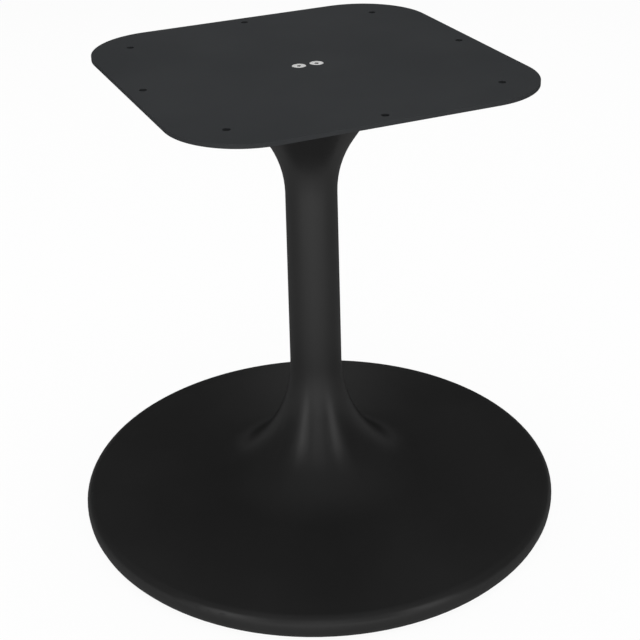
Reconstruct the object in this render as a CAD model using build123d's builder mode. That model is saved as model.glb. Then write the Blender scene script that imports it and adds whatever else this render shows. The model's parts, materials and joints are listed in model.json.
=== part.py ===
"""Trumpet table base: a flared pedestal casting with a screwed-on square top plate.

Frame: millimetres, +Z up, origin on the floor on the pedestal's axis. X and Y run along the
edges of the top plate, and the two plate screws stand in a row along X.
"""

import os
from math import cos, radians, sin, tan

from build123d import *

# Overall
overall_height = 720.0
foot_radius = 375.0
wall = 5.0  # cast wall of the pedestal

# Rim of the foot
floor_gap = 2.0  # the glides hold the casting this far off the floor
rim_bottom_inset = 8.0
rim_corner_height = 38.0  # where the cone of the foot would meet its side without the rounding
rim_side_drop = 17.0  # from that corner down to where the lower curve of the rim begins
rim_top_round = 15.0

# Foot flare: two tangent arcs lead from the column into the shallow cone of the foot
flare_upper_arc_radius = 220.0
flare_upper_arc_angle = 48.0
flare_lower_arc_radius = 110.0
foot_cone_angle = 5.0

# Column, with its slight taper
column_bottom_radius = 40.0
column_taper_angle = 0.3

# Mouth flare: an arc and then a cone lead from the column to the top plate
mouth_flare_height = 187.0
mouth_arc_radius = 150.0
mouth_cone_angle = 34.0

# Top plate
plate_side = 530.0
plate_thickness = 6.0
plate_corner_radius = 110.0
plate_edge_break = 0.6
table_hole_radius = 3.25
corner_hole_spacing = 395.0
edge_hole_radius = 242.0  # from the axis to each hole at the middle of an edge

# Countersunk screws that hold the plate
screw_radius = 5.0
screw_length = 30.0
screw_head_radius = 10.0
screw_spacing = 27.0
screw_tip_chamfer = 1.0
socket_across_flats = 6.0
socket_depth = 4.0
countersink_margin = 0.6  # the countersink is wider than the head by this much all round
seat_clearance = 0.05
plate_hole_radius = 5.5
thread_clearance = 0.1

# Hub and arms cast across the mouth, which take the plate screws
hub_radius = 30.0
hub_depth = 42.0
arm_count = 4
arm_reach = 150.0  # past the flare, which ends the arms
arm_thickness = 10.0
arm_depth = 30.0
tapped_hole_extra_depth = 4.0

# Ribs under the foot
rib_count = 8
rib_thickness = 5.0
rib_inner_radius = 62.0
rib_top_height = 130.0
rib_clear_height = 12.0  # underside of the ribs above the floor

# Levelling glides
glide_count = 4
glide_rim_clearance = 9.0  # between the pads and the inside of the rim
glide_boss_radius = 12.0
glide_boss_gap = 1.0  # between the boss and the top of the pad
pad_radius = 16.0
pad_height = 7.0
pad_edge_chamfer = 1.2
pad_sole_thickness = 2.0  # plastic under the stud's head
stud_radius = 4.0
stud_head_radius = 8.0
stud_head_height = 3.0
stud_length = 25.0
stud_tip_chamfer = 0.8

# Places worked out from the sizes above
plate_underside = overall_height - plate_thickness
column_top_height = plate_underside - mouth_flare_height
taper = radians(column_taper_angle)
flare_turn = radians(column_taper_angle + flare_upper_arc_angle)  # off the vertical between the arcs
cone_slope = radians(foot_cone_angle)
upper_arc_run = flare_upper_arc_radius * (cos(taper) - cos(flare_turn))
upper_arc_drop = flare_upper_arc_radius * (sin(flare_turn) - sin(taper))
lower_arc_run = flare_lower_arc_radius * (cos(flare_turn) - sin(cone_slope))
lower_arc_drop = flare_lower_arc_radius * (cos(cone_slope) - sin(flare_turn))
cone_run = foot_radius - column_bottom_radius - upper_arc_run - lower_arc_run
flare_top_height = rim_corner_height + cone_run * tan(cone_slope) + lower_arc_drop + upper_arc_drop
column_top_radius = column_bottom_radius - (column_top_height - flare_top_height) * tan(taper)
rim_bottom_radius = foot_radius - rim_bottom_inset
glide_circle_radius = rim_bottom_radius - wall - glide_rim_clearance - pad_radius
cut_margin = 10.0  # how far a cutting form runs past the face that it opens


def mouth_flare(inset):
    """Section of the flare under the plate, moved inwards by inset, and its upper end."""
    arc = JernArc(
        (column_top_radius - inset, column_top_height),
        (-sin(taper), cos(taper)),
        mouth_arc_radius + inset,
        -mouth_cone_angle,
    )
    rise = plate_underside - (arc @ 1).Y
    cone = Line(arc @ 1, arc @ 1 + Vector(rise * (arc % 1).X / (arc % 1).Y, rise))
    return cone @ 1


def foot_flare(inset):
    """Section of the flare above the foot, moved inwards by inset, and its lower end."""
    upper = JernArc(
        (column_bottom_radius - inset, flare_top_height),
        (sin(taper), -cos(taper)),
        flare_upper_arc_radius + inset,
        flare_upper_arc_angle,
    )
    lower = JernArc(
        upper @ 1,
        upper % 1,
        flare_lower_arc_radius + inset,
        90 - foot_cone_angle - flare_upper_arc_angle - column_taper_angle,
    )
    return lower


def foot_and_rim(flare, inset):
    """Section of the shallow cone and the rim, moved inwards by inset, and its lower end."""
    run = foot_radius - inset - (flare @ 1).X
    corner = flare @ 1 + Vector(run, run * (flare % 1).Y / (flare % 1).X)
    side = (foot_radius - inset, rim_corner_height - rim_side_drop)
    rim_bottom = (rim_bottom_radius - inset, floor_gap)
    FilletPolyline(flare @ 1, corner, side, radius=rim_top_round - inset)
    TangentArc(side, rim_bottom, tangent=(0, -1))
    return rim_bottom


def trumpet_line(inset):
    """Half section of the pedestal from its mouth to its rim, and the two ends of it."""
    mouth = mouth_flare(inset)
    Line((column_top_radius - inset, column_top_height), (column_bottom_radius - inset, flare_top_height))
    rim = foot_and_rim(foot_flare(inset), inset)
    return mouth, rim


# Screw hub in the middle of the mouth, with arms that reach the flare's wall
with BuildPart() as mouth_webs:
    with BuildSketch(Plane.XY.offset(plate_underside - hub_depth)):
        Circle(hub_radius)
    extrude(amount=hub_depth + cut_margin)
    with BuildSketch(Plane.XY.offset(plate_underside - arm_depth)):
        with PolarLocations(0, arm_count):
            Rectangle(arm_reach, arm_thickness, align=(Align.MIN, Align.CENTER))
    extrude(amount=arm_depth + cut_margin)

# Radial ribs under the foot, and the bosses that take the glides
first_glide_angle = 180 / glide_count
with BuildPart() as foot_webs:
    with BuildSketch(Plane.XY.offset(rib_clear_height)):
        with PolarLocations(rib_inner_radius, rib_count, start_angle=first_glide_angle):
            Rectangle(foot_radius - rib_inner_radius, rib_thickness, align=(Align.MIN, Align.CENTER))
    extrude(amount=rib_top_height - rib_clear_height)
    with BuildSketch(Plane.XY.offset(pad_height + glide_boss_gap)):
        with PolarLocations(glide_circle_radius, glide_count, start_angle=first_glide_angle):
            Circle(glide_boss_radius)
    extrude(amount=rib_top_height)

# Hollow of the casting: what is left out of it stays as metal
with BuildPart() as hollow:
    with BuildSketch(Plane.XZ):
        with BuildLine():
            inner_mouth, inner_rim = trumpet_line(wall)
            Polyline(
                inner_mouth,
                (inner_mouth.X, plate_underside + cut_margin),
                (0, plate_underside + cut_margin),
                (0, -cut_margin),
                (inner_rim[0], -cut_margin),
                inner_rim,
            )
        make_face()
    revolve(axis=Axis.Z)
    add(mouth_webs.part, mode=Mode.SUBTRACT)
    add(foot_webs.part, mode=Mode.SUBTRACT)

# Pedestal casting
with BuildPart() as trumpet_pedestal:
    with BuildSketch(Plane.XZ):
        with BuildLine():
            outer_mouth, outer_rim = trumpet_line(0)
            Polyline(outer_mouth, (0, plate_underside), (0, floor_gap), outer_rim)
        make_face()
    revolve(axis=Axis.Z)
    add(hollow.part, mode=Mode.SUBTRACT)
    screw_hole_depth = screw_length - plate_thickness + tapped_hole_extra_depth
    with BuildSketch(Plane.XY.offset(plate_underside)):
        with GridLocations(screw_spacing, 0, 2, 1):
            Circle(screw_radius + thread_clearance)
    extrude(amount=-screw_hole_depth, mode=Mode.SUBTRACT)
    stud_hole_top = pad_sole_thickness + stud_head_height + stud_length + thread_clearance
    with BuildSketch(Plane.XY):
        with PolarLocations(glide_circle_radius, glide_count, start_angle=first_glide_angle):
            Circle(stud_radius + thread_clearance)
    extrude(amount=stud_hole_top, mode=Mode.SUBTRACT)

# Top plate
with BuildPart() as top_plate:
    with BuildSketch(Plane.XY.offset(plate_underside)):
        RectangleRounded(plate_side, plate_side, plate_corner_radius)
    extrude(amount=plate_thickness)
    plate_faces = top_plate.faces().filter_by(Plane.XY)
    chamfer(plate_faces.edges(), plate_edge_break)
    with Locations(Plane.XY.offset(overall_height)):
        with GridLocations(corner_hole_spacing, corner_hole_spacing, 2, 2):
            Hole(table_hole_radius)
        with PolarLocations(edge_hole_radius, 4):
            Hole(table_hole_radius)
        with GridLocations(screw_spacing, 0, 2, 1):
            CounterSinkHole(plate_hole_radius, screw_head_radius + countersink_margin)

# One plate screw on the axis, its head sunk until its cone seats
screw_top = overall_height - countersink_margin - seat_clearance
with BuildPart() as one_screw:
    with BuildSketch(Plane.XZ):
        with BuildLine():
            head_depth = screw_head_radius - screw_radius
            Polyline(
                (0, screw_top),
                (screw_head_radius, screw_top),
                (screw_radius, screw_top - head_depth),
                (screw_radius, screw_top - screw_length + screw_tip_chamfer),
                (screw_radius - screw_tip_chamfer, screw_top - screw_length),
                (0, screw_top - screw_length),
                close=True,
            )
        make_face()
    revolve(axis=Axis.Z)
    with BuildSketch(Plane.XY.offset(screw_top)):
        RegularPolygon(socket_across_flats / 2, 6, major_radius=False)
    extrude(amount=-socket_depth, mode=Mode.SUBTRACT)

with BuildPart() as plate_screws:
    with GridLocations(screw_spacing, 0, 2, 1):
        add(one_screw.part)

# One glide stud on the axis
with BuildPart() as one_stud:
    with BuildSketch(Plane.XY.offset(pad_sole_thickness)):
        RegularPolygon(stud_head_radius, 6)
    extrude(amount=stud_head_height)
    with BuildSketch(Plane.XY.offset(pad_sole_thickness + stud_head_height)):
        Circle(stud_radius)
    extrude(amount=stud_length)
    chamfer(one_stud.faces().sort_by(Axis.Z)[-1].edges(), stud_tip_chamfer)

with BuildPart() as glide_studs:
    with PolarLocations(glide_circle_radius, glide_count, start_angle=first_glide_angle):
        add(one_stud.part)

# One glide pad on the axis, moulded round the stud's head
with BuildPart() as one_pad:
    with BuildSketch(Plane.XY):
        Circle(pad_radius)
    extrude(amount=pad_height)
    chamfer(one_pad.edges().filter_by(GeomType.CIRCLE), pad_edge_chamfer)
    with BuildSketch(Plane.XY.offset(pad_sole_thickness)):
        RegularPolygon(stud_head_radius, 6)
    extrude(amount=stud_head_height, mode=Mode.SUBTRACT)
    with BuildSketch(Plane.XY.offset(pad_sole_thickness + stud_head_height)):
        Circle(stud_radius)
    extrude(amount=pad_height, mode=Mode.SUBTRACT)

with BuildPart() as glide_pads:
    with PolarLocations(glide_circle_radius, glide_count, start_angle=first_glide_angle):
        add(one_pad.part)

trumpet_pedestal.part.label = "trumpet_pedestal"
top_plate.part.label = "top_plate"
plate_screws.part.label = "plate_screws"
glide_studs.part.label = "glide_studs"
glide_pads.part.label = "glide_pads"

os.makedirs("parts", exist_ok=True)
export_step(trumpet_pedestal.part, "parts/trumpet_pedestal.step")
export_step(top_plate.part, "parts/top_plate.step")
export_step(plate_screws.part, "parts/plate_screws.step")
export_step(glide_studs.part, "parts/glide_studs.step")
export_step(glide_pads.part, "parts/glide_pads.step")
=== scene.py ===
# %% [markdown]
# A trumpet table base is the pedestal under a round table: a wide foot, a slim column that
# flares at both ends, and a flat plate that the table top is screwed to. The CAD frame holds
# every piece at its real size. This lesson dresses it: the camera, a plain studio, finer
# meshes for the pieces, and the black coats and bright fasteners.

import json
from math import atan2, cos, degrees, hypot, radians, sin, sqrt, tan

import bmesh
import bpy
from mathutils import Matrix, Vector


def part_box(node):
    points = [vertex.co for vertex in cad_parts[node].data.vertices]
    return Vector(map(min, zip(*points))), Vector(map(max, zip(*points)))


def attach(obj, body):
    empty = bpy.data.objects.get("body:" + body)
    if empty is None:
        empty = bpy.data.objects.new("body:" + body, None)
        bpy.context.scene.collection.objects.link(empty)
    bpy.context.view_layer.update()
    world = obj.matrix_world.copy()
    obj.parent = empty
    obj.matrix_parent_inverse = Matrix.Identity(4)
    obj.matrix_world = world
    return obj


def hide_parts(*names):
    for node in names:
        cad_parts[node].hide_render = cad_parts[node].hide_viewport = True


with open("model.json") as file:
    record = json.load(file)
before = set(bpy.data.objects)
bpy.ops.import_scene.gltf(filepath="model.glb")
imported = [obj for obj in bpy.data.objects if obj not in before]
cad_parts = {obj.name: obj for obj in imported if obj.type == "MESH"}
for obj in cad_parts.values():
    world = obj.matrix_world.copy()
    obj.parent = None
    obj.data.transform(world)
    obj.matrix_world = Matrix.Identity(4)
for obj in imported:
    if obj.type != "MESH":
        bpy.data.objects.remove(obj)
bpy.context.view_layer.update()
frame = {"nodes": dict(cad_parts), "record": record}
nodes = frame["nodes"]
bpy.ops.object.select_all(action="DESELECT")
print("pieces from the frame:", sorted(nodes))

# %% [markdown]
# The camera comes first, because every other choice is judged through it. A long lens a
# little over two metres away keeps the plate's edges nearly parallel, and the slight roll
# is the tilt that the picture has. A camera looks along its own -Z, so it is turned from
# its aim, and then rolled about that line.

# %% Camera
CAMERA_PLACE = Vector((-0.7564, -1.7503, 1.3128))
CAMERA_AIM = Vector((0.0073, -0.0032, 0.3141))
CAMERA_ROLL = radians(-1.465)
CAMERA_REACH = 300.0
LENS_MM = 78.73
SENSOR_MM = 36.0


def new_object(name, data):
    """An object that holds the data, put in the scene at the origin."""
    thing = bpy.data.objects.new(name, data)
    bpy.context.scene.collection.objects.link(thing)
    return thing


camera_data = bpy.data.cameras.new("studio_camera")
camera_data.lens = LENS_MM
camera_data.sensor_width = SENSOR_MM
camera_data.clip_end = CAMERA_REACH
camera = new_object("studio_camera", camera_data)
looking = (CAMERA_AIM - CAMERA_PLACE).to_track_quat("-Z", "Y").to_matrix()
rolled = looking @ Matrix.Rotation(CAMERA_ROLL, 3, "Z")
camera.matrix_world = Matrix.Translation(CAMERA_PLACE) @ rolled.to_4x4()
bpy.context.scene.camera = camera
CAMERA_TURN = atan2(CAMERA_PLACE.x, -CAMERA_PLACE.y)
print("camera stands", round(degrees(CAMERA_TURN)), "degrees round from the front")

# %% [markdown]
# Every surface, the floor's too, gets a material of nodes. It starts from an empty node tree
# with only its output, so that nothing in it is there by default. Sums between sockets are
# Math nodes, and one helper adds them.

# %% Material helpers


def new_material(name):
    """A material with an empty node tree and its output node."""
    material = bpy.data.materials.new(name)
    material.use_nodes = True
    tree = material.node_tree
    tree.nodes.clear()
    output = tree.nodes.new("ShaderNodeOutputMaterial")
    return material, tree, output


def calculate(tree, operation, first, second):
    """A Math node on two inputs, where the second may be a socket or a number."""
    result = tree.nodes.new("ShaderNodeMath")
    result.operation = operation
    tree.links.new(first, result.inputs[0])
    if isinstance(second, float):
        result.inputs[1].default_value = second
    else:
        tree.links.new(second, result.inputs[1])
    return result.outputs["Value"]


print("material helpers ready")

# %% [markdown]
# The studio is a pale floor that runs out of sight. Seen by the camera it is paper white, and
# so it is in reflections, which gives the black coat something pale to mirror below. All other
# light finds its plain diffuse colour, so the floor still takes the object's shadow.

# %% Floor
FLOOR_REACH = 200.0
FLOOR_COLOUR = (0.8, 0.8, 0.8, 1.0)
FLOOR_WHITE_SHARE = 0.94


def floor_paper():
    """Diffuse paper that the camera and reflections see as white, apart from some shadow."""
    material, tree, output = new_material("floor_paper")
    paper = tree.nodes.new("ShaderNodeBsdfDiffuse")
    paper.inputs["Color"].default_value = FLOOR_COLOUR
    white = tree.nodes.new("ShaderNodeEmission")
    white.inputs["Strength"].default_value = 1.0
    path = tree.nodes.new("ShaderNodeLightPath").outputs
    mirrored = calculate(tree, "MAXIMUM", path["Is Glossy Ray"], path["Is Transmission Ray"])
    seen = calculate(tree, "MAXIMUM", path["Is Camera Ray"], mirrored)
    mix = tree.nodes.new("ShaderNodeMixShader")
    tree.links.new(calculate(tree, "MULTIPLY", seen, FLOOR_WHITE_SHARE), mix.inputs["Fac"])
    tree.links.new(paper.outputs["BSDF"], mix.inputs[1])
    tree.links.new(white.outputs["Emission"], mix.inputs[2])
    tree.links.new(mix.outputs["Shader"], output.inputs["Surface"])
    return material


bpy.ops.mesh.primitive_plane_add(size=FLOOR_REACH, location=(0, 0, 0))
floor = bpy.context.object
floor.name = "studio_floor"
floor.data.materials.append(floor_paper())
print("floor laid,", FLOOR_REACH, "m across")

# %% [markdown]
# A black coat shows what stands round it more than what shines on it. So the light comes in
# two parts. Broad lamps, hidden from reflections, light the colours evenly: one overhead,
# three round the object, and a low one that reaches under the plate. Dim upright panels to
# the left and right, on the camera's side and opposite it, are what the coat reflects. They
# draw the soft streaks on the flares.

# %% Lamps
TOP_LAMP_SIZE = 5.0
TOP_LAMP_HEIGHT = 4.0


def soft_lamp(name, width, tall, watts, glossy):
    """A rectangular lamp that the camera never sees, and reflections only if it is glossy."""
    lamp_data = bpy.data.lights.new(name, "AREA")
    lamp_data.shape = "RECTANGLE"
    lamp_data.size = width
    lamp_data.size_y = tall
    lamp_data.energy = watts
    lamp = new_object(name, lamp_data)
    lamp.visible_camera = False
    lamp.visible_glossy = glossy
    return lamp


def panel(name, turn, distance, height, width, tall, watts, glossy=True):
    """A lamp turned so many degrees round from the camera, facing the axis at its own height."""
    lamp = soft_lamp(name, width, tall, watts, glossy)
    bearing = CAMERA_TURN + radians(turn)
    place = Vector((sin(bearing) * distance, -cos(bearing) * distance, height))
    looking_in = (Vector((0, 0, height)) - place).to_track_quat("-Z", "Y").to_matrix()
    lamp.matrix_world = Matrix.Translation(place) @ looking_in.to_4x4()


top_lamp = soft_lamp("top_lamp", TOP_LAMP_SIZE, TOP_LAMP_SIZE, watts=180.0, glossy=False)
top_lamp.location = (0, 0, TOP_LAMP_HEIGHT)
for turn in (0, 120, 240):
    panel(f"fill_{turn}", turn, distance=4.0, height=1.6, width=3.0, tall=2.4, watts=46.0, glossy=False)
panel("low_fill", 0, distance=2.4, height=0.25, width=2.0, tall=0.4, watts=10.0, glossy=False)
panel("left_panel", -41, distance=2.2, height=0.75, width=0.7, tall=1.6, watts=7.0)
panel("right_panel", 45, distance=2.2, height=0.75, width=0.6, tall=1.6, watts=6.0)
panel("front_panel", 0, distance=3.0, height=1.5, width=1.6, tall=2.8, watts=5.5)
panel("back_panel", 180, distance=3.0, height=1.0, width=0.6, tall=0.8, watts=2.0)
print("lamps set:", len(bpy.data.lights))

# %% [markdown]
# The world is a plain dim room. It fills the shadows, and the tops of the foot and the plate
# mirror it. The camera looks down at the floor, so it never sees the room itself.

# %% World
ROOM_GREY = (0.06, 0.06, 0.06, 1.0)

world = bpy.data.worlds.new("room")
world.use_nodes = True
world.node_tree.nodes["Background"].inputs["Color"].default_value = ROOM_GREY
bpy.context.scene.world = world
bpy.context.scene.view_settings.view_transform = "Standard"
print("world set to a grey of", ROOM_GREY[0])

# %% [markdown]
# Every piece below is made the way it would be by hand: a primitive at its size and place,
# operators in edit mode, and modifiers that are applied. Operators act on whatever is
# selected, so these few helpers put everything down first and pick up one piece at a time.

# %% Bench helpers
MM_PER_METRE = 1000


def put_down():
    """Object mode with nothing selected."""
    if bpy.context.object and bpy.context.object.mode != "OBJECT":
        bpy.ops.object.mode_set(mode="OBJECT")
    bpy.ops.object.select_all(action="DESELECT")


def take_up(piece):
    """The piece alone selected and active."""
    put_down()
    piece.select_set(True)
    bpy.context.view_layer.objects.active = piece


def primitive(name, maker, **settings):
    """A new primitive under its own name, with its place moved into its mesh."""
    put_down()
    maker(**settings)
    piece = bpy.context.object
    piece.name = name
    bpy.ops.object.transform_apply(location=True, rotation=True, scale=True)
    return piece


def apply_modifier(piece, kind, **settings):
    """Adds a modifier, sets it and applies it."""
    take_up(piece)
    modifier = piece.modifiers.new(kind.lower(), kind)
    for setting, value in settings.items():
        setattr(modifier, setting, value)
    bpy.ops.object.modifier_apply(modifier=modifier.name)


def measure(piece):
    """Prints a piece's faces, open edges and size in millimetres."""
    skin = bmesh.new()
    skin.from_mesh(piece.data)
    open_edges = sum(not edge.is_manifold for edge in skin.edges)
    faces = len(skin.faces)
    skin.free()
    size = [round(side * MM_PER_METRE, 2) for side in piece.dimensions]
    print(piece.name, "has", faces, "faces,", open_edges, "open edges, size in mm", size)


print("bench ready")

# %% [markdown]
# Three finishing cuts come back on almost every piece. A Boolean adds or takes away another
# shape. A bevel rounds the edges that turn sharply and leaves curved walls alone. Smooth
# shading stops at the same kind of edge, and weighted normals keep the flat faces flat.

# %% Finishing helpers
ROUNDED_ANGLE = radians(35)
SMOOTH_ANGLE = radians(30)


def combine(piece, tool, operation):
    """Adds the tool's shape to the piece or takes it away, and throws the tool out."""
    apply_modifier(piece, "BOOLEAN", operation=operation, solver="EXACT", object=tool)
    bpy.data.objects.remove(tool)


def soften(piece, width, segments):
    """Rounds every edge that turns by more than the angle."""
    apply_modifier(
        piece,
        "BEVEL",
        width=width,
        segments=segments,
        limit_method="ANGLE",
        angle_limit=ROUNDED_ANGLE,
    )


def shade(piece):
    """Smooth shading that stops at sharp edges and keeps the flat faces flat."""
    take_up(piece)
    bpy.ops.object.shade_smooth_by_angle(angle=SMOOTH_ANGLE)
    apply_modifier(piece, "WEIGHTED_NORMAL", keep_sharp=True)


print("edges turning over", round(degrees(ROUNDED_ANGLE)), "degrees will be rounded")

# %% [markdown]
# The pedestal is one aluminium casting: foot, column and both flares, with ribs and glide
# bosses under the foot and a screw hub on arms in the mouth. Its outside could be spun again
# from a profile, but the frame already holds the true form, inside and out. What it lacks is
# shading that flows: its triangles are loose, so a seam shows where the column meets the
# flare. A copy is welded into one skin and shaded smooth up to the real edges.

# %% Pedestal casting
WELD_DISTANCE = 0.000001

pedestal = new_object("pedestal_casting", nodes["trumpet_pedestal"].data.copy())
take_up(pedestal)
bpy.ops.mesh.customdata_custom_splitnormals_clear()
bpy.ops.object.mode_set(mode="EDIT")
bpy.ops.mesh.select_all(action="SELECT")
bpy.ops.mesh.remove_doubles(threshold=WELD_DISTANCE)
bpy.ops.object.mode_set(mode="OBJECT")
bpy.ops.object.shade_smooth_by_angle(angle=SMOOTH_ANGLE)
measure(pedestal)

# %% [markdown]
# The top plate is cut from sheet steel with large rounded corners. A cube with bevelled edges
# would do for a box, but here the corners are far larger than the thickness. So a flat square
# gets its corners rounded first, as vertices, and is then extruded to its thickness.

# %% Top plate sheet
PLATE_CORNER_RADIUS = 0.110
PLATE_CORNER_STEPS = 32
ROUND_PROFILE = 0.5

plate_low, plate_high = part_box("top_plate")
plate_thickness = plate_high.z - plate_low.z
plate = primitive(
    "plate_sheet",
    bpy.ops.mesh.primitive_plane_add,
    size=plate_high.x - plate_low.x,
    location=(0, 0, plate_low.z),
)
bpy.ops.object.mode_set(mode="EDIT")
bpy.ops.mesh.select_all(action="SELECT")
bpy.ops.mesh.bevel(
    offset=PLATE_CORNER_RADIUS,
    segments=PLATE_CORNER_STEPS,
    profile=ROUND_PROFILE,
    affect="VERTICES",
    clamp_overlap=False,
)
bpy.ops.mesh.select_all(action="SELECT")
bpy.ops.mesh.extrude_region_move(TRANSFORM_OT_translate={"value": (0, 0, plate_thickness)})
bpy.ops.mesh.select_all(action="SELECT")
bpy.ops.mesh.normals_make_consistent(inside=False)
bpy.ops.object.mode_set(mode="OBJECT")
measure(plate)

# %% [markdown]
# The plate is drilled in ten places: a small hole for a wood screw near each corner and at
# the middle of each edge, and two countersunk holes in the middle for the screws that hold
# it to the pedestal. The holes are Boolean cuts, placed from the mounts in the frame's
# record. The table holes are wider for their upper half, as the picture shows them, and keep
# the record's width below, where the wood screws pass. A last fine bevel takes the sharpness
# off every edge, where the coat catches a line of light.

# %% Holes in the plate
TABLE_HOLE_MOUTH = 0.0054
TABLE_HOLE_MOUTH_DEPTH = 0.0035
SCREW_CLEAR_RADIUS = 0.0055
COUNTERSINK_RADIUS = 0.0106
COUNTERSINK_HALF_ANGLE = radians(41)
PLATE_EDGE_ROUND = 0.0005
CUT_MARGIN = 0.001
HOLE_SIDES = 48

mounts = {mount["name"]: mount["dims"] for mount in frame["record"]["mounts"]}
corner_reach = mounts["corner_screw_holes"]["spacing_x_mm"] / 2 / MM_PER_METRE
edge_reach = mounts["edge_screw_holes"]["pcd_mm"] / 2 / MM_PER_METRE
table_hole_radius = mounts["corner_screw_holes"]["hole_r_mm"] / MM_PER_METRE
screw_low, screw_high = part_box("plate_screws")
screw_head_radius = screw_high.y
screw_reach = screw_high.x - screw_head_radius


def drill(piece, radius, depth, x, y):
    """A round hole of the given depth, drilled from the plate's top face."""
    bit = primitive(
        "drill_bit",
        bpy.ops.mesh.primitive_cylinder_add,
        vertices=HOLE_SIDES,
        radius=radius,
        depth=depth + CUT_MARGIN,
        location=(x, y, plate_high.z - (depth - CUT_MARGIN) / 2),
    )
    combine(piece, bit, "DIFFERENCE")


def countersink(piece, x, y):
    """The cone that takes a screw's head, cut from just above the plate's face."""
    slope = tan(COUNTERSINK_HALF_ANGLE)
    depth = (COUNTERSINK_RADIUS - SCREW_CLEAR_RADIUS) / slope
    bit = primitive(
        "countersink_bit",
        bpy.ops.mesh.primitive_cone_add,
        vertices=HOLE_SIDES,
        radius1=SCREW_CLEAR_RADIUS,
        radius2=COUNTERSINK_RADIUS + CUT_MARGIN * slope,
        depth=depth + CUT_MARGIN,
        location=(x, y, plate_high.z - (depth - CUT_MARGIN) / 2),
    )
    combine(piece, bit, "DIFFERENCE")


corner_places = [(x, y) for x in (-corner_reach, corner_reach) for y in (-corner_reach, corner_reach)]
edge_places = [(-edge_reach, 0), (edge_reach, 0), (0, -edge_reach), (0, edge_reach)]
through = plate_thickness + CUT_MARGIN
for x, y in corner_places + edge_places:
    drill(plate, table_hole_radius, through, x, y)
    drill(plate, TABLE_HOLE_MOUTH, TABLE_HOLE_MOUTH_DEPTH, x, y)
for x in (-screw_reach, screw_reach):
    drill(plate, SCREW_CLEAR_RADIUS, through, x, 0)
    countersink(plate, x, 0)
soften(plate, PLATE_EDGE_ROUND, segments=3)
shade(plate)
measure(plate)

# %% [markdown]
# The fasteners are turned parts. A profile could be spun round the axis, but a list of rings
# is nearer to how a lathe cuts them, step by step. A filled circle is the top face, and it is
# extruded down and resized ring by ring. Sockets and heads are hexagons, which are cylinders
# of six sides.

# %% Turning
TURNED_SIDES = 64


def turned(name, rings):
    """A solid of revolution about the Z axis, from its top ring down to its last."""
    radius, height = rings[0]
    piece = primitive(
        name,
        bpy.ops.mesh.primitive_circle_add,
        vertices=TURNED_SIDES,
        radius=radius,
        fill_type="NGON",
        location=(0, 0, height),
    )
    bpy.ops.object.mode_set(mode="EDIT")
    bpy.ops.mesh.select_all(action="SELECT")
    for next_radius, next_height in rings[1:]:
        step_down = (0, 0, next_height - height)
        bpy.ops.mesh.extrude_region_move(TRANSFORM_OT_translate={"value": step_down})
        share = next_radius / radius
        bpy.ops.transform.resize(value=(share, share, 1))
        radius, height = next_radius, next_height
    bpy.ops.mesh.select_all(action="SELECT")
    bpy.ops.mesh.normals_make_consistent(inside=False)
    bpy.ops.object.mode_set(mode="OBJECT")
    return piece


def hexagon(name, corner_radius, low, high):
    """A six-sided bar, for a socket or a head."""
    return primitive(
        name,
        bpy.ops.mesh.primitive_cylinder_add,
        vertices=6,
        radius=corner_radius,
        depth=high - low,
        location=(0, 0, (low + high) / 2),
    )


print("lathe ready, turning", TURNED_SIDES, "sides")

# %% [markdown]
# A thread could be bump, but the meshes are kept as parts in their own right, so the ridge is
# real. A metric thread's section is an equilateral triangle, which is a circle of three
# vertices stood on edge. The Screw modifier carries it round and up, and its two open ends
# are filled, so that a Boolean can join it to a shank.

# %% Threading
THREAD_STEPS = 32
THREAD_DEPTH_SHARE = 0.613
TOOTH_SHARE = 0.56


def thread(crest, pitch, low, high):
    """A closed helical ridge round the Z axis whose crest has the radius given."""
    tooth = pitch * TOOTH_SHARE
    ridge = primitive(
        "thread_ridge",
        bpy.ops.mesh.primitive_circle_add,
        vertices=3,
        radius=tooth,
        fill_type="NOTHING",
        location=(crest - tooth, 0, low + tooth),
        rotation=(radians(90), radians(90), 0),
    )
    turns = int((high - low - 2 * tooth) / pitch)
    apply_modifier(
        ridge,
        "SCREW",
        angle=radians(360),
        screw_offset=pitch,
        iterations=turns,
        steps=THREAD_STEPS,
        render_steps=THREAD_STEPS,
    )
    bpy.ops.object.mode_set(mode="EDIT")
    bpy.ops.mesh.select_all(action="SELECT")
    bpy.ops.mesh.fill_holes(sides=3)
    bpy.ops.mesh.select_all(action="SELECT")
    bpy.ops.mesh.normals_make_consistent(inside=False)
    bpy.ops.object.mode_set(mode="OBJECT")
    print("thread of", turns, "turns at", round(pitch * MM_PER_METRE, 2), "mm pitch")
    return ridge


print("threads will have", THREAD_STEPS, "steps a turn")

# %% [markdown]
# The plate screws are M10 countersunk socket screws. Their heads stay a little below the
# plate's face, so that the table top lies flat. One is turned, its hexagon socket is cut, its
# edges are eased and its thread is joined on. The faces inside the socket are set apart,
# because they take a near-black colour: painted shade for the depth of the socket.

# %% Plate screw
SCREW_RADIUS = 0.005
SCREW_PITCH = 0.0015
SCREW_NECK = 0.0009
SCREW_TIP_CHAMFER = 0.001
SCREW_EDGE_ROUND = 0.0002
SOCKET_ACROSS_FLATS = 0.006
SOCKET_DEPTH = 0.004
SOCKET_SHADE_FINISH = 1

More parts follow.
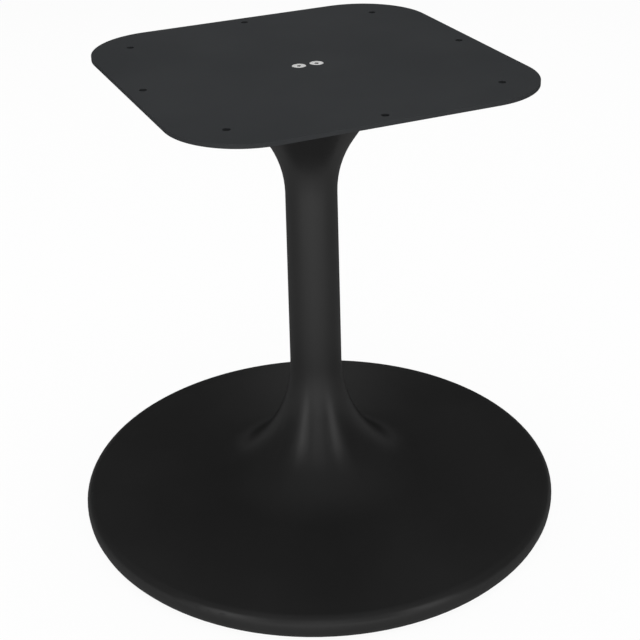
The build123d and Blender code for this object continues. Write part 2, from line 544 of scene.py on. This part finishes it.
head_bottom = screw_high.z - (screw_head_radius - SCREW_RADIUS)
screw_root = SCREW_RADIUS - SCREW_PITCH * THREAD_DEPTH_SHARE
screw = turned(
    "plate_screw",
    [
        (screw_head_radius, screw_high.z),
        (SCREW_RADIUS, head_bottom),
        (screw_root, head_bottom - SCREW_NECK),
        (screw_root, screw_low.z + SCREW_TIP_CHAMFER),
        (screw_root - SCREW_TIP_CHAMFER, screw_low.z),
    ],
)
socket_radius = SOCKET_ACROSS_FLATS / sqrt(3)
socket_floor = screw_high.z - SOCKET_DEPTH
socket = hexagon("socket_bit", socket_radius, socket_floor, screw_high.z + CUT_MARGIN)
combine(screw, socket, "DIFFERENCE")
soften(screw, SCREW_EDGE_ROUND, segments=3)
ridge = thread(SCREW_RADIUS, SCREW_PITCH, screw_low.z, head_bottom - SCREW_NECK)
combine(screw, ridge, "UNION")
shade(screw)
# The faces inside the socket take the near-black finish, which is painted shade.
for face in screw.data.polygons:
    middle = face.center
    deep_enough = socket_floor - SCREW_EDGE_ROUND < middle.z < screw_high.z - SCREW_EDGE_ROUND
    if deep_enough and hypot(middle.x, middle.y) < socket_radius:
        face.material_index = SOCKET_SHADE_FINISH
measure(screw)

# %% [markdown]
# What repeats is modelled once and copied. Each copy gets its own mesh, moved to its place,
# and its object stays at the origin, as the frame's own pieces do.

# %% Set out the screws


def set_out(piece, places):
    """Copies of a piece, each with its own mesh, moved to their places."""
    copies = []
    for number, (x, y) in enumerate(places, start=1):
        copy = new_object(f"{piece.name}_{number}", piece.data.copy())
        copy.data.transform(Matrix.Translation((x, y, 0)))
        copies.append(copy)
    bpy.data.objects.remove(piece)
    return copies


screws = set_out(screw, [(-screw_reach, 0), (screw_reach, 0)])
print("screws set out:", [piece.name for piece in screws])

# %% [markdown]
# Each levelling glide is a steel stud with a hexagon head, moulded into a nylon pad. Screwed
# in or out of its boss it lifts that side of the foot. The stud is turned with its tip up,
# its end is eased, and its head and thread are joined on.

# %% Glide stud
STUD_RADIUS = 0.004
STUD_PITCH = 0.00125
STUD_HEAD_RADIUS = 0.008
STUD_HEAD_HEIGHT = 0.003
STUD_TIP_CHAMFER = 0.0008
STUD_EDGE_ROUND = 0.0002

stud_low, stud_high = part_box("glide_studs")
head_top = stud_low.z + STUD_HEAD_HEIGHT
stud_root = STUD_RADIUS - STUD_PITCH * THREAD_DEPTH_SHARE
stud = turned(
    "glide_stud",
    [
        (stud_root - STUD_TIP_CHAMFER, stud_high.z),
        (stud_root, stud_high.z - STUD_TIP_CHAMFER),
        (stud_root, stud_low.z + STUD_HEAD_HEIGHT / 2),
    ],
)
soften(stud, STUD_EDGE_ROUND, segments=2)
combine(stud, hexagon("stud_hexagon", STUD_HEAD_RADIUS, stud_low.z, head_top), "UNION")
combine(stud, thread(STUD_RADIUS, STUD_PITCH, head_top, stud_high.z), "UNION")
shade(stud)
measure(stud)

# %% [markdown]
# The pad is moulded round the stud's head, so it fits it everywhere. A disc is turned and
# rounded, and the head and the shank are cut out of it, with a small chamfer where the shank
# comes out. Both pieces are then copied to the four bosses.

# %% Glide pad
PAD_RADIUS = 0.016
PAD_EDGE_ROUND = 0.0012
PAD_HOLE_CHAMFER = 0.0003

pad_low, pad_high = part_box("glide_pads")
pad = turned("glide_pad", [(PAD_RADIUS, pad_high.z), (PAD_RADIUS, pad_low.z)])
soften(pad, PAD_EDGE_ROUND, segments=5)
combine(pad, hexagon("head_bit", STUD_HEAD_RADIUS, stud_low.z, head_top), "DIFFERENCE")
shank_bit = turned(
    "shank_bit",
    [
        (STUD_RADIUS + PAD_HOLE_CHAMFER, pad_high.z + CUT_MARGIN),
        (STUD_RADIUS + PAD_HOLE_CHAMFER, pad_high.z),
        (STUD_RADIUS, pad_high.z - PAD_HOLE_CHAMFER),
        (STUD_RADIUS, head_top - STUD_HEAD_HEIGHT / 2),
    ],
)
combine(pad, shank_bit, "DIFFERENCE")
shade(pad)
measure(pad)

glide_reach = pad_high.x - PAD_RADIUS
glide_places = [(x, y) for x in (-glide_reach, glide_reach) for y in (-glide_reach, glide_reach)]
studs = set_out(stud, glide_places)
pads = set_out(pad, glide_places)
print("glides set out:", len(studs), "studs and", len(pads), "pads")

# %% [markdown]
# No finish is one flat colour. Each one below mixes two near tones, an uneven gloss and a
# fine relief, all from noise on the piece's own coordinates, so the pattern stays put when
# the piece moves. These helpers wire up one such layer each.

# %% Finish helpers


def noise(tree, scale, detail):
    """Noise of 0 to 1 on the piece's own coordinates."""
    place = tree.nodes.new("ShaderNodeTexCoord")
    pattern = tree.nodes.new("ShaderNodeTexNoise")
    pattern.inputs["Scale"].default_value = scale
    pattern.inputs["Detail"].default_value = detail
    tree.links.new(place.outputs["Object"], pattern.inputs["Vector"])
    return pattern.outputs["Fac"]


def two_tones(tree, pattern, dark, light, low, high):
    """Dark where the pattern is under low, light where it is over high."""
    ramp = tree.nodes.new("ShaderNodeValToRGB")
    ramp.color_ramp.elements[0].position = low
    ramp.color_ramp.elements[0].color = (*dark, 1)
    ramp.color_ramp.elements[1].position = high
    ramp.color_ramp.elements[1].color = (*light, 1)
    tree.links.new(pattern, ramp.inputs["Fac"])
    return ramp.outputs["Color"]


def spread(tree, pattern, low, high):
    """The pattern of 0 to 1 stretched to run from low to high."""
    stretch = tree.nodes.new("ShaderNodeMapRange")
    stretch.inputs["To Min"].default_value = low
    stretch.inputs["To Max"].default_value = high
    tree.links.new(pattern, stretch.inputs["Value"])
    return stretch.outputs["Result"]


def relief(tree, pattern, strength, depth):
    """The pattern as a bump of the given depth in metres."""
    bump = tree.nodes.new("ShaderNodeBump")
    bump.inputs["Strength"].default_value = strength
    bump.inputs["Distance"].default_value = depth
    tree.links.new(pattern, bump.inputs["Height"])
    return bump.outputs["Normal"]


def surface(tree, output, colour, roughness, normal):
    """The shader of a piece, with its three layers wired in."""
    skin = tree.nodes.new("ShaderNodeBsdfPrincipled")
    tree.links.new(colour, skin.inputs["Base Color"])
    tree.links.new(roughness, skin.inputs["Roughness"])
    tree.links.new(normal, skin.inputs["Normal"])
    tree.links.new(skin.outputs["BSDF"], output.inputs["Surface"])
    return skin


print("finish helpers ready")

# %% [markdown]
# Powder coat is baked on, so it flows into a skin with a faint orange peel. Satin black on
# the pedestal is smooth enough to carry soft reflections. The plate has a finer-grained,
# flatter coat that scatters them, and its colour is painted lighter than the pedestal's, as
# painted reflection of the bright room above. Both are near black with a soft mottle and an
# uneven gloss.
# The shine falls off towards grazing angles, because the real coats stay black at the edge of
# the column, where a plain glossy shader would turn pale.

# %% Coatings
GRAZING_SHARE = 0.2
GRAZING_FALL = 5.0
MOTTLE_SCALE = 6.0
GLOSS_SPREAD = 0.03
PEEL_STRENGTH = 0.25
PEEL_DEPTH = 0.0002


def sheen(tree, shine):
    """A shine that falls off where the surface turns away from the eye."""
    facing = tree.nodes.new("ShaderNodeLayerWeight").outputs["Facing"]
    front = spread(tree, facing, 1.0, GRAZING_SHARE)
    fall = calculate(tree, "POWER", front, GRAZING_FALL)
    return calculate(tree, "MULTIPLY", fall, shine)


def coating(name, dark, light, roughness, shine, peel_scale):
    """Powder coat: two near blacks in a soft mottle, uneven gloss and an orange peel."""
    material, tree, output = new_material(name)
    mottle = noise(tree, MOTTLE_SCALE, detail=4.0)
    peel = noise(tree, peel_scale, detail=2.0)
    skin = surface(
        tree,
        output,
        colour=two_tones(tree, mottle, dark, light, low=0.35, high=0.65),
        roughness=spread(tree, mottle, roughness - GLOSS_SPREAD, roughness + GLOSS_SPREAD),
        normal=relief(tree, peel, PEEL_STRENGTH, PEEL_DEPTH),
    )
    tree.links.new(sheen(tree, shine), skin.inputs["Specular IOR Level"])
    return material


satin_black = coating(
    "satin_black_coat",
    dark=(0.0122, 0.0122, 0.0122),
    light=(0.0142, 0.0142, 0.0142),
    roughness=0.34,
    shine=0.49,
    peel_scale=500.0,
)
# Painted reflection: the plate's colour is lighter than the pedestal's and its shine low, so the bright
# room above shows as colour.
plate_black_painted_lighter = coating(
    "plate_black_painted_lighter_coat",
    dark=(0.0275, 0.0290, 0.0305),
    light=(0.0305, 0.0320, 0.0335),
    roughness=0.55,
    shine=0.1,
    peel_scale=1400.0,
)
print("coats mixed:", satin_black.name, "and", plate_black_painted_lighter.name)

# %% [markdown]
# Zinc plate on the screws and studs is a bright metal, a little cloudy, with fine scratches.
# It scatters as much light as it mirrors, so it isn't fully metallic. The walls inside a
# socket get a near-black copy of it, which is painted shade for the socket's depth.

# %% Plated steel
PLATED_METALLIC = 0.5
CLOUD_SHARE = 0.82
CLOUD_SCALE = 180.0
CLOUD_GLOSS_SPREAD = 0.06
SCRATCH_SCALE = 2500.0


def plated_steel(name, tint, roughness):
    """Plated steel with cloudy patches and fine scratches."""
    material, tree, output = new_material(name)
    cloud = noise(tree, CLOUD_SCALE, detail=2.0)
    scratches = noise(tree, SCRATCH_SCALE, detail=2.0)
    dull = [CLOUD_SHARE * part for part in tint]
    skin = surface(
        tree,
        output,
        colour=two_tones(tree, cloud, dull, tint, low=0.3, high=0.7),
        roughness=spread(tree, cloud, roughness - CLOUD_GLOSS_SPREAD, roughness + CLOUD_GLOSS_SPREAD),
        normal=relief(tree, scratches, strength=0.15, depth=0.0001),
    )
    skin.inputs["Metallic"].default_value = PLATED_METALLIC
    return material


bright_zinc = plated_steel("bright_zinc", tint=(0.93, 0.93, 0.92), roughness=0.4)
# Painted shade: a near-black copy of the plated steel for the walls inside a socket.
socket_painted_shade = plated_steel("socket_painted_shade", tint=(0.06, 0.06, 0.06), roughness=0.5)
print("steels mixed:", bright_zinc.name, "and", socket_painted_shade.name)

# %% [markdown]
# The pads are black nylon from a mould with a fine matt grain. It is black all through, with
# a rough face that gives no clear reflections.

# %% Nylon
GRAIN_SCALE = 900.0
NYLON_SHINE = 0.4


def moulded_nylon(name):
    """Matt black plastic with the fine grain of its mould."""
    material, tree, output = new_material(name)
    grain = noise(tree, GRAIN_SCALE, detail=3.0)
    skin = surface(
        tree,
        output,
        colour=two_tones(tree, grain, (0.026, 0.026, 0.027), (0.034, 0.034, 0.035), low=0.0, high=1.0),
        roughness=spread(tree, grain, 0.55, 0.7),
        normal=relief(tree, grain, strength=0.3, depth=0.0002),
    )
    skin.inputs["Specular IOR Level"].default_value = NYLON_SHINE
    return material


black_nylon = moulded_nylon("black_nylon")
print("nylon mixed:", black_nylon.name)

# %% [markdown]
# Now each piece gets its finish and goes on the root body, and the node it stands for is
# hidden. The base has no joints, so everything rides on the one body. Clearing a mesh's
# finishes also forgets which face had which, so the faces' numbers are kept and put back.

# %% Dress the pieces


def fit_piece(piece, node, slot, *materials):
    """Gives a piece its finishes, puts it on the root body and hides its node."""
    finish_of_faces = [face.material_index for face in piece.data.polygons]
    piece.data.materials.clear()
    for material in materials:
        piece.data.materials.append(material)
    piece.data.polygons.foreach_set("material_index", finish_of_faces)
    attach(piece, "root")
    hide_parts(node)


fit_piece(pedestal, "trumpet_pedestal", "pedestal_coating", satin_black)
fit_piece(plate, "top_plate", "plate_coating", plate_black_painted_lighter)
for piece in screws:
    fit_piece(piece, "plate_screws", "screw_steel", bright_zinc, socket_painted_shade)
for piece in studs:
    fit_piece(piece, "glide_studs", "stud_steel", bright_zinc)
for piece in pads:
    fit_piece(piece, "glide_pads", "pad_plastic", black_nylon)
print("pieces dressed:", len([pedestal, plate, *screws, *studs, *pads]))

# %% [markdown]
# Last, the scene is brought up to date. The dressed model has to stay inside the CAD
# model's box.

# %% Finish
bpy.context.view_layer.update()
